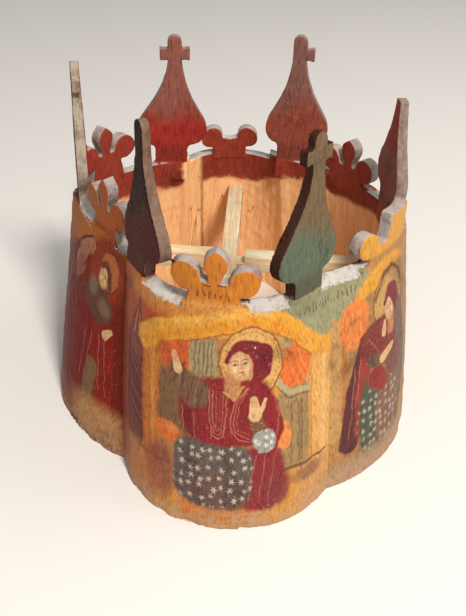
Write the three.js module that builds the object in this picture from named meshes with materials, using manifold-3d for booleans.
// A bridal crown hollowed from one log: a flared wall of six lobes, six tall spires and six
// three-lobed leaves on its rim, and two thin battens wedged across the inside.
import * as THREE from 'three';
import Module from 'manifold-3d';
import { mergeVertices } from 'three/addons/utils/BufferGeometryUtils.js';

// Driving dimensions, in millimetres and degrees. +Z is up and -Y is the crown's front.
const WALL_HEIGHT = 108;
const WALL_AT_FOOT = 13;
const WALL_AT_TOP = 8.5;
const WALL_BULGE = 1.5;
const WALL_LEVELS = 5;
const ARC_STEPS = 14;

// The six grooves, from the front left one towards the right and round: each runs from a point
// of the foot rim to a point of the wall's top. The log was carved by eye, so no two are alike.
const GROOVES = [
  { foot: [-57, -88], top: [-54, -50] },
  { foot: [52.5, -106], top: [47, -72] },
  { foot: [101, -9], top: [96, 9] },
  { foot: [40, 92], top: [30, 83] },
  { foot: [-46, 86], top: [-38, 73] },
  { foot: [-104.5, -2], top: [-95, 20] },
];

// How far each lobe swells beyond the straight line between its grooves, as a share of it.
const LOBE_SWELL = [
  { foot: 0.35, top: 0.36 },
  { foot: 0.184, top: 0.15 },
  { foot: 0.18, top: 0.11 },
  { foot: 0.34, top: 0.33 },
  { foot: 0.17, top: 0.12 },
  { foot: 0.158, top: 0.05 },
];

// Crest pieces stand on a lobe, `along` its top from one groove to the next, and face `facing`
// degrees round from the front. A spire leans as it was carved: `bulbShift` and `tipShift` move
// its bulb and its tip along the wall, and `lean` moves the tip inwards.
const SPIRES = [
  {
    name: 'front_left', lobe: 0, along: 0.12, facing: -58, inward: 0, height: 79.5,
    bulb: 19.4, bulbShift: 10.6, tipShift: 9.5, lean: 0, crossArms: [],
  },
  {
    name: 'front_right', lobe: 0, along: 0.87, facing: 47, inward: 0, height: 81,
    bulb: 20.4, bulbShift: -2.6, tipShift: 0.4, lean: 0, crossArms: [-1, 1],
  },
  {
    name: 'right', lobe: 1, along: 1, facing: 95, inward: 5, height: 81, broken: true,
    bulb: 21.5, bulbShift: 0, tipShift: 0, lean: 0, crossArms: [],
  },
  {
    name: 'back_right', lobe: 2, along: 0.93, facing: 173, inward: 0, height: 77.5,
    bulb: 19.4, bulbShift: -2, tipShift: -1, lean: 0, crossArms: [-1],
  },
  {
    name: 'back_left', lobe: 4, along: 0.08, facing: -174, inward: 0, height: 78,
    bulb: 21.6, bulbShift: -1, tipShift: -3.4, lean: 0, crossArms: [-1, 1],
  },
  {
    name: 'left', lobe: 5, along: 0.05, facing: -78, inward: 1.5, height: 77,
    bulb: 21, bulbShift: 0, tipShift: 0, lean: 0.5, crossArms: [-1, 1],
  },
];
const LEAVES = [
  { name: 'front', lobe: 0, along: 0.515, facing: -4, rise: 12.5, tilt: -3, parts: 'left knob right' },
  { name: 'right', lobe: 1, along: 0.41, facing: 50, rise: 10.5, tilt: 0, parts: 'left stump' },
  { name: 'back_right', lobe: 2, along: 0.47, facing: 132, rise: 10, tilt: 0, parts: 'left knob right' },
  { name: 'back', lobe: 3, along: 0.48, facing: 180, rise: 7, tilt: 0, parts: 'left right', narrow: true },
  { name: 'back_left', lobe: 4, along: 0.71, facing: -128, rise: 17, tilt: 0, parts: 'left knob right' },
  { name: 'left', lobe: 5, along: 0.66, facing: -42, rise: 14, tilt: 0, parts: 'left knob right' },
];

// A spire: a stem, a broad round bulb that overhangs it, and a neck with a small cross on top.
const SPIRE_ROOT = 12;
const STEM_HALF_WIDTH = 9.8;
const STEM_TOP = 11;
const STEM_FILLET = 4;
const BULB_LIP = 3;
const BULB_LIP_RISE = 0.5;
const BULB_CORNER = 4;
const BULB_ROUND = 5;
const BULB_WIDEST = 21;
const BULB_SHOULDER = 9;
const NECK_DRAW = 17;
const NECK_SPREAD = 3.5;
const NECK_HALF_WIDTH = 4.1;
const NECK_HEIGHT = 62;
const ARM_REACH = 8.8;
const ARM_DROP = 10.8;
const ARM_HALF_HEIGHT = 3.75;
const ARM_FLARE = 0.8;
const SPIRE_THICKNESS = 7;
const TIP_THICKNESS = 4.6;
const BREAK_HEIGHT = 64;

// A leaf: two round side lobes and a pointed knob over a short broad foot.
const LEAF_ROOT = 8;
const LEAF_HALF_WIDTH = 13;
const LEAF_FOOT_HEIGHT = 1;
const LEAF_WAIST = 9.6;
const LEAF_SAW_DEPTH = 25.5;
const LOBE_OFFSET = 14;
const LOBE_RADIUS = 7.2;
const KNOB_WAIST = 2.8;
const KNOB_ROOT = 2;
const KNOB_NECK = 4.4;
const KNOB_SWELL = 5.6;
const KNOB_SWELL_HEIGHT = 9.4;
const KNOB_SHOULDER = 3.4;
const KNOB_POINT = 1.8;
const KNOB_HEIGHT = 15.8;

// The back leaf is narrower, and the gaps beside it are cut below the wall's top.
const NARROW_HALF_WIDTH = 10.8;
const NARROW_WAIST = 9;
const NARROW_OFFSET = 11.6;
const NARROW_RADIUS = 6.6;
const VALLEY_DEPTH = 2;
const GAP_CUT = 4.5;
const GAP_CUT_REACH = 27;
const GAP_CUT_DEPTH = 40;

// The broken leaf's right side is a block that slopes up and narrows towards its own middle.
const STUMP_HEIGHT = 22;
const STUMP_SLOPE = 5;
const STUMP_START = 5;
const STUMP_HOLLOW = 3;
const STUMP_WAIST_HEIGHT = 9;
const STUMP_END = 34;
const CREST_TOP = 148;
const CREST_SETBACK = 0.4;
const CREST_LEAN = 2.2;
const CREST_THINNING = 1.5;

// Battens of square section, half-lapped where they cross, their ends wedged on the wall.
const BATTEN_SIZE = 9.5;
const BATTEN_TOP = 79;
const BATTEN_GAP = 0.3;
const BATTEN_REACH = 130;
const CROSSING = [-3, 4];
const CROSS_BATTEN_TURN = -3.8;
const LONG_BATTEN_TURN = -1.7;

const PAINTED_OCHRE = new THREE.MeshStandardMaterial({ color: 0xb9702c, roughness: 0.6, metalness: 0 });
const PALE_WOOD = new THREE.MeshStandardMaterial({ color: 0xe3c58d, roughness: 0.7, metalness: 0 });
const PALE_WOOD_CROSS = PALE_WOOD.clone();

const wasm = await Module();
wasm.setup();

function toSolid(geometry) {
  geometry.deleteAttribute('normal');
  geometry.deleteAttribute('uv');
  const merged = mergeVertices(geometry, 1e-4);
  return new wasm.Manifold(new wasm.Mesh({
    numProp: 3,
    vertProperties: new Float32Array(merged.attributes.position.array),
    triVerts: new Uint32Array(merged.index.array),
  }));
}

function toMesh(solid, name, material) {
  const found = solid.getMesh();
  const geometry = new THREE.BufferGeometry();
  geometry.setAttribute('position', new THREE.BufferAttribute(found.vertProperties, 3));
  geometry.setIndex(new THREE.BufferAttribute(found.triVerts, 1));
  geometry.computeVertexNormals();
  const mesh = new THREE.Mesh(geometry, material);
  mesh.name = name;
  return mesh;
}

// One lobe's arc in plan from groove a to groove b: a circle that stands `swell` times the
// chord's length beyond it, sampled in ARC_STEPS steps with b left to the next lobe.
function lobeArc(a, b, swell) {
  const start = new THREE.Vector2(...a);
  const chord = new THREE.Vector2(...b).sub(start);
  const length = chord.length();
  const outward = new THREE.Vector2(chord.y, -chord.x).normalize();
  const height = swell * length;
  const radius = (length * length / 4 + height * height) / (2 * height);
  const half = Math.asin(length / 2 / radius);
  const spread = height > radius ? Math.PI - half : half;
  const centre = start.clone().addScaledVector(chord, 0.5).addScaledVector(outward, height - radius);
  const points = [];
  for (let step = 0; step < ARC_STEPS; step += 1) {
    const turn = spread * (2 * step / ARC_STEPS - 1);
    const point = centre.clone().addScaledVector(outward, radius * Math.cos(turn));
    points.push(point.addScaledVector(chord, radius * Math.sin(turn) / length));
  }
  return points;
}

function outline(level) {
  return GROOVES.flatMap((groove, index) => {
    const next = GROOVES[(index + 1) % GROOVES.length];
    return lobeArc(groove[level], next[level], LOBE_SWELL[index][level]);
  });
}

const footOutline = outline('foot');
const topOutline = outline('top');

// Moves an outline towards the axis by `amount`, measured along each point's own radius.
function inset(points, amount) {
  return points.map((point) => point.clone().setLength(point.length() - amount));
}

function blend(a, b, share, extra) {
  return a.map((point, index) => {
    const mixed = point.clone().lerp(b[index], share);
    return mixed.setLength(mixed.length() + extra);
  });
}

// A closed ring: rows of [height, outline] go up the outside and down the inside again.
function ringSolid(rows) {
  const around = rows[0].points.length;
  const positions = rows.flatMap((row) => row.points.flatMap((p) => [p.x, p.y, row.z]));
  const index = [];
  rows.forEach((row, r) => {
    const base = r * around;
    const above = ((r + 1) % rows.length) * around;
    for (let i = 0; i < around; i += 1) {
      const next = (i + 1) % around;
      index.push(base + i, base + next, above + next, base + i, above + next, above + i);
    }
  });
  const geometry = new THREE.BufferGeometry();
  geometry.setAttribute('position', new THREE.Float32BufferAttribute(positions, 3));
  geometry.setIndex(index);
  return toSolid(geometry);
}

function wallRows(shrinkInside) {
  const footInside = inset(footOutline, WALL_AT_FOOT + shrinkInside);
  const topInside = inset(topOutline, WALL_AT_TOP + shrinkInside);
  const outside = [];
  const inside = [];
  for (let level = 0; level <= WALL_LEVELS; level += 1) {
    const share = level / WALL_LEVELS;
    const bulge = WALL_BULGE * Math.sin(Math.PI * share);
    outside.push({ z: share * WALL_HEIGHT, points: blend(footOutline, topOutline, share, bulge) });
    inside.push({ z: share * WALL_HEIGHT, points: blend(footInside, topInside, share, bulge) });
  }
  return { outside, inside };
}

// The rim's curved shell above the wall, from which the leaves are sawn.
function crestShell() {
  const inside = inset(topOutline, WALL_AT_TOP);
  return ringSolid([
    { z: WALL_HEIGHT - LEAF_ROOT, points: inset(topOutline, CREST_SETBACK) },
    { z: CREST_TOP, points: inset(topOutline, CREST_LEAN) },
    { z: CREST_TOP, points: inset(inside, CREST_LEAN - CREST_THINNING) },
    { z: WALL_HEIGHT - LEAF_ROOT, points: inset(inside, -CREST_SETBACK) },
  ]);
}

// The frame of a crest piece: X along the wall, Y up and Z outwards, on the wall's mid line.
function crestFrame({ lobe, along, facing, inward = 0 }) {
  const around = topOutline.length;
  const place = (lobe + along) * ARC_STEPS;
  const before = topOutline[Math.floor(place) % around];
  const after = topOutline[(Math.floor(place) + 1) % around];
  const middle = before.clone().lerp(after, place - Math.floor(place));
  const spot = middle.setLength(middle.length() - WALL_AT_TOP / 2 - inward);
  const turn = THREE.MathUtils.degToRad(facing);
  const tangent = new THREE.Vector3(Math.cos(turn), Math.sin(turn), 0);
  const outward = new THREE.Vector3(Math.sin(turn), -Math.cos(turn), 0);
  return new THREE.Matrix4()
    .makeBasis(tangent, new THREE.Vector3(0, 0, 1), outward)
    .setPosition(spot.x, spot.y, WALL_HEIGHT);
}

// An upright plate: `shape` drawn in the frame's X and Y, `depth` thick about its Z. `bend` gives
// how far each height is carved over, along the wall and inwards.
function plate(shape, depth, frame, bend = null) {
  const geometry = new THREE.ExtrudeGeometry(shape, { depth: 1, bevelEnabled: false, curveSegments: 10 });
  const position = geometry.attributes.position;
  for (let i = 0; i < position.count; i += 1) {
    const y = position.getY(i);
    const carved = bend ? bend(y) : { sideways: 0, inwards: 0 };
    position.setX(i, position.getX(i) + carved.sideways);
    position.setZ(i, (position.getZ(i) - 0.5) * depth(y) - carved.inwards);
  }
  geometry.applyMatrix4(frame);
  return toSolid(geometry);
}

function disc(x, y, radius) {
  const shape = new THREE.Shape();
  shape.absarc(x, y, radius, 0, 2 * Math.PI, false);
  return shape;
}

function polygon(points) {
  return new THREE.Shape(points.map(([x, y]) => new THREE.Vector2(x, y)));
}

// The right side's outline is drawn upwards, then the left side's downwards as its mirror.
function spireShape({ height, bulb, crossArms, broken }) {
  const shape = new THREE.Shape();
  const stem = STEM_HALF_WIDTH;
  const neck = NECK_HALF_WIDTH;
  const top = broken ? BREAK_HEIGHT : height - neck;
  const armHeight = height - ARM_DROP;
  const lip = STEM_TOP + BULB_LIP_RISE;
  const corner = bulb - BULB_CORNER;
  const shoulder = BULB_WIDEST + BULB_SHOULDER;
  const draw = BULB_WIDEST + NECK_DRAW;
  shape.moveTo(-stem, -SPIRE_ROOT);
  shape.lineTo(stem, -SPIRE_ROOT);
  shape.lineTo(stem, STEM_TOP - STEM_FILLET);
  shape.quadraticCurveTo(stem, STEM_TOP, stem + BULB_LIP, lip);
  shape.bezierCurveTo(corner, lip + BULB_LIP_RISE, bulb, STEM_TOP + BULB_ROUND, bulb, BULB_WIDEST);
  shape.bezierCurveTo(bulb, shoulder, neck + NECK_SPREAD, draw, neck, NECK_HEIGHT);
  if (crossArms.includes(1)) addArm(shape, armHeight, 1);
  shape.lineTo(neck, top);
  if (!broken) shape.absarc(0, top, neck, 0, Math.PI, false);
  shape.lineTo(-neck, top);
  if (crossArms.includes(-1)) addArm(shape, armHeight, -1);
  shape.lineTo(-neck, NECK_HEIGHT);
  shape.bezierCurveTo(-neck - NECK_SPREAD, draw, -bulb, shoulder, -bulb, BULB_WIDEST);
  shape.bezierCurveTo(-bulb, STEM_TOP + BULB_ROUND, -corner, lip + BULB_LIP_RISE, -stem - BULB_LIP, lip);
  shape.quadraticCurveTo(-stem, STEM_TOP, -stem, STEM_TOP - STEM_FILLET);
  return shape;
}

// One arm of a spire's cross, a little wider at its end than at its root.
function addArm(shape, middle, side) {
  const rootHalf = ARM_HALF_HEIGHT - ARM_FLARE;
  const corners = [
    [NECK_HALF_WIDTH, middle - rootHalf],
    [ARM_REACH, middle - ARM_HALF_HEIGHT],
    [ARM_REACH, middle + ARM_HALF_HEIGHT],
    [NECK_HALF_WIDTH, middle + rootHalf],
  ];
  const ordered = side > 0 ? corners : corners.reverse();
  ordered.forEach(([x, y]) => shape.lineTo(side * x, y));
}

function spire(design) {
  const { height, bulbShift, tipShift, lean } = design;
  const { lerp, smoothstep } = THREE.MathUtils;
  const thickness = (y) => lerp(SPIRE_THICKNESS, TIP_THICKNESS, Math.max(0, y) / height);
  const bend = (y) => ({
    sideways: bulbShift * smoothstep(y, 0, BULB_WIDEST)
      + (tipShift - bulbShift) * smoothstep(y, BULB_WIDEST, NECK_HEIGHT),
    inwards: lean * Math.max(0, y) / height,
  });
  return plate(spireShape(design), thickness, crestFrame(design), bend);
}

function leaf(design, shell) {
  const deep = () => LEAF_SAW_DEPTH;
  const tilt = new THREE.Matrix4().makeRotationZ(THREE.MathUtils.degToRad(design.tilt));
  const frame = crestFrame(design).multiply(tilt);
  const rise = design.rise;
  const { narrow = false } = design;
  const foot = narrow ? NARROW_HALF_WIDTH : LEAF_HALF_WIDTH;
  const low = LEAF_FOOT_HEIGHT;
  const waist = narrow ? NARROW_WAIST : LEAF_WAIST;
  const offset = narrow ? NARROW_OFFSET : LOBE_OFFSET;
  const radius = narrow ? NARROW_RADIUS : LOBE_RADIUS;
  const rightSide = [[foot, -LEAF_ROOT], [foot, low], [waist, rise]];
  const leftSide = rightSide.map(([x, y]) => [-x, y]).reverse();
  const shapes = [polygon([...rightSide, [0, rise - VALLEY_DEPTH], ...leftSide])];
  const parts = design.parts.split(' ');
  if (parts.includes('left')) shapes.push(disc(-offset, rise, radius));
  if (parts.includes('right')) shapes.push(disc(offset, rise, radius));
  if (parts.includes('knob')) {
    const root = rise - KNOB_ROOT;
    const widest = rise + KNOB_SWELL_HEIGHT;
    const top = rise + KNOB_HEIGHT;
    const knob = new THREE.Shape();
    knob.moveTo(-KNOB_WAIST, root);
    knob.lineTo(KNOB_WAIST, root);
    knob.bezierCurveTo(KNOB_WAIST, rise + KNOB_NECK, KNOB_SWELL, rise + KNOB_NECK, KNOB_SWELL, widest);
    knob.bezierCurveTo(KNOB_SWELL, top - KNOB_SHOULDER, KNOB_POINT, top - KNOB_POINT, 0, top);
    knob.bezierCurveTo(-KNOB_POINT, top - KNOB_POINT, -KNOB_SWELL, top - KNOB_SHOULDER, -KNOB_SWELL, widest);
    knob.bezierCurveTo(-KNOB_SWELL, rise + KNOB_NECK, -KNOB_WAIST, rise + KNOB_NECK, -KNOB_WAIST, root);
    shapes.push(knob);
  }
  if (parts.includes('stump')) {
    shapes.push(polygon([
      [STUMP_START, -LEAF_ROOT],
      [STUMP_END, -LEAF_ROOT],
      [STUMP_END, STUMP_HEIGHT - STUMP_SLOPE],
      [STUMP_START, STUMP_HEIGHT],
      [STUMP_START - STUMP_HOLLOW, STUMP_WAIST_HEIGHT],
    ]));
  }
  return shapes
    .map((shape) => plate(shape, deep, frame))
    .reduce((joined, next) => joined.add(next))
    .intersect(shell);
}

// The wood sawn away below the wall's top on both sides of a narrow leaf.
function gapCut(design) {
  const across = GAP_CUT_REACH;
  const block = polygon([[-across, -GAP_CUT], [across, -GAP_CUT], [across, GAP_CUT], [-across, GAP_CUT]]);
  return plate(block, () => GAP_CUT_DEPTH, crestFrame(design));
}

function crown() {
  const { outside, inside } = wallRows(0);
  const shell = crestShell();
  let body = ringSolid([...outside, ...inside.reverse()]);
  LEAVES.filter(({ narrow }) => narrow).forEach((design) => { body = body.subtract(gapCut(design)); });
  SPIRES.forEach((design) => { body = body.add(spire(design)); });
  LEAVES.forEach((design) => { body = body.add(leaf(design, shell)); });
  return body;
}

// The hollow of the crown, smaller all round by the gap kept at the battens' ends.
function hollow() {
  const { inside } = wallRows(BATTEN_GAP);
  const around = footOutline.length;
  const positions = inside.flatMap((row) => row.points.flatMap((p) => [p.x, p.y, row.z]));
  const index = [];
  for (let level = 0; level < WALL_LEVELS; level += 1) {
    for (let i = 0; i < around; i += 1) {
      const a = level * around + i;
      const b = level * around + (i + 1) % around;
      index.push(a, b, b + around, a, b + around, a + around);
    }
  }
  const low = positions.length / 3;
  const high = low + 1;
  positions.push(0, 0, 0, 0, 0, WALL_HEIGHT);
  const rim = WALL_LEVELS * around;
  for (let i = 0; i < around; i += 1) {
    const next = (i + 1) % around;
    index.push(next, i, low, rim + i, rim + next, high);
  }
  const geometry = new THREE.BufferGeometry();
  geometry.setAttribute('position', new THREE.Float32BufferAttribute(positions, 3));
  geometry.setIndex(index);
  return toSolid(geometry);
}

function box(width, depth, height, z, turn) {
  const geometry = new THREE.BoxGeometry(width, depth, height);
  geometry.rotateZ(THREE.MathUtils.degToRad(turn));
  geometry.translate(CROSSING[0], CROSSING[1], z);
  return toSolid(geometry);
}

// Each batten keeps its lower or its upper half where the other one passes.
function battens() {
  const size = BATTEN_SIZE;
  const middle = BATTEN_TOP - size / 2;
  const notch = size + 2 * BATTEN_GAP;
  const room = hollow();
  const along = box(size, 2 * BATTEN_REACH, size, middle, LONG_BATTEN_TURN);
  const across = box(2 * BATTEN_REACH, size, size, middle, CROSS_BATTEN_TURN);
  const lift = size / 4 - BATTEN_GAP / 4;
  const upperCut = box(2 * size, notch, size / 2 + BATTEN_GAP / 2, middle + lift, CROSS_BATTEN_TURN);
  const lowerCut = box(notch, 2 * size, size / 2 + BATTEN_GAP / 2, middle - lift, LONG_BATTEN_TURN);
  return {
    along: along.subtract(lowerCut).intersect(room),
    across: across.subtract(upperCut).intersect(room),
  };
}

const part = new THREE.Group();
const { along, across } = battens();
const crownMesh = toMesh(crown(), 'carved_crown', PAINTED_OCHRE);
part.add(crownMesh);
part.add(toMesh(along, 'batten_front_back', PALE_WOOD));
part.add(toMesh(across, 'batten_side_to_side', PALE_WOOD_CROSS));

// The origin is the middle of the crown's footprint, on the surface that it stands on.
const footprint = new THREE.Box3().setFromObject(crownMesh).getCenter(new THREE.Vector3());
part.position.set(-footprint.x, -footprint.y, 0);

export default part;
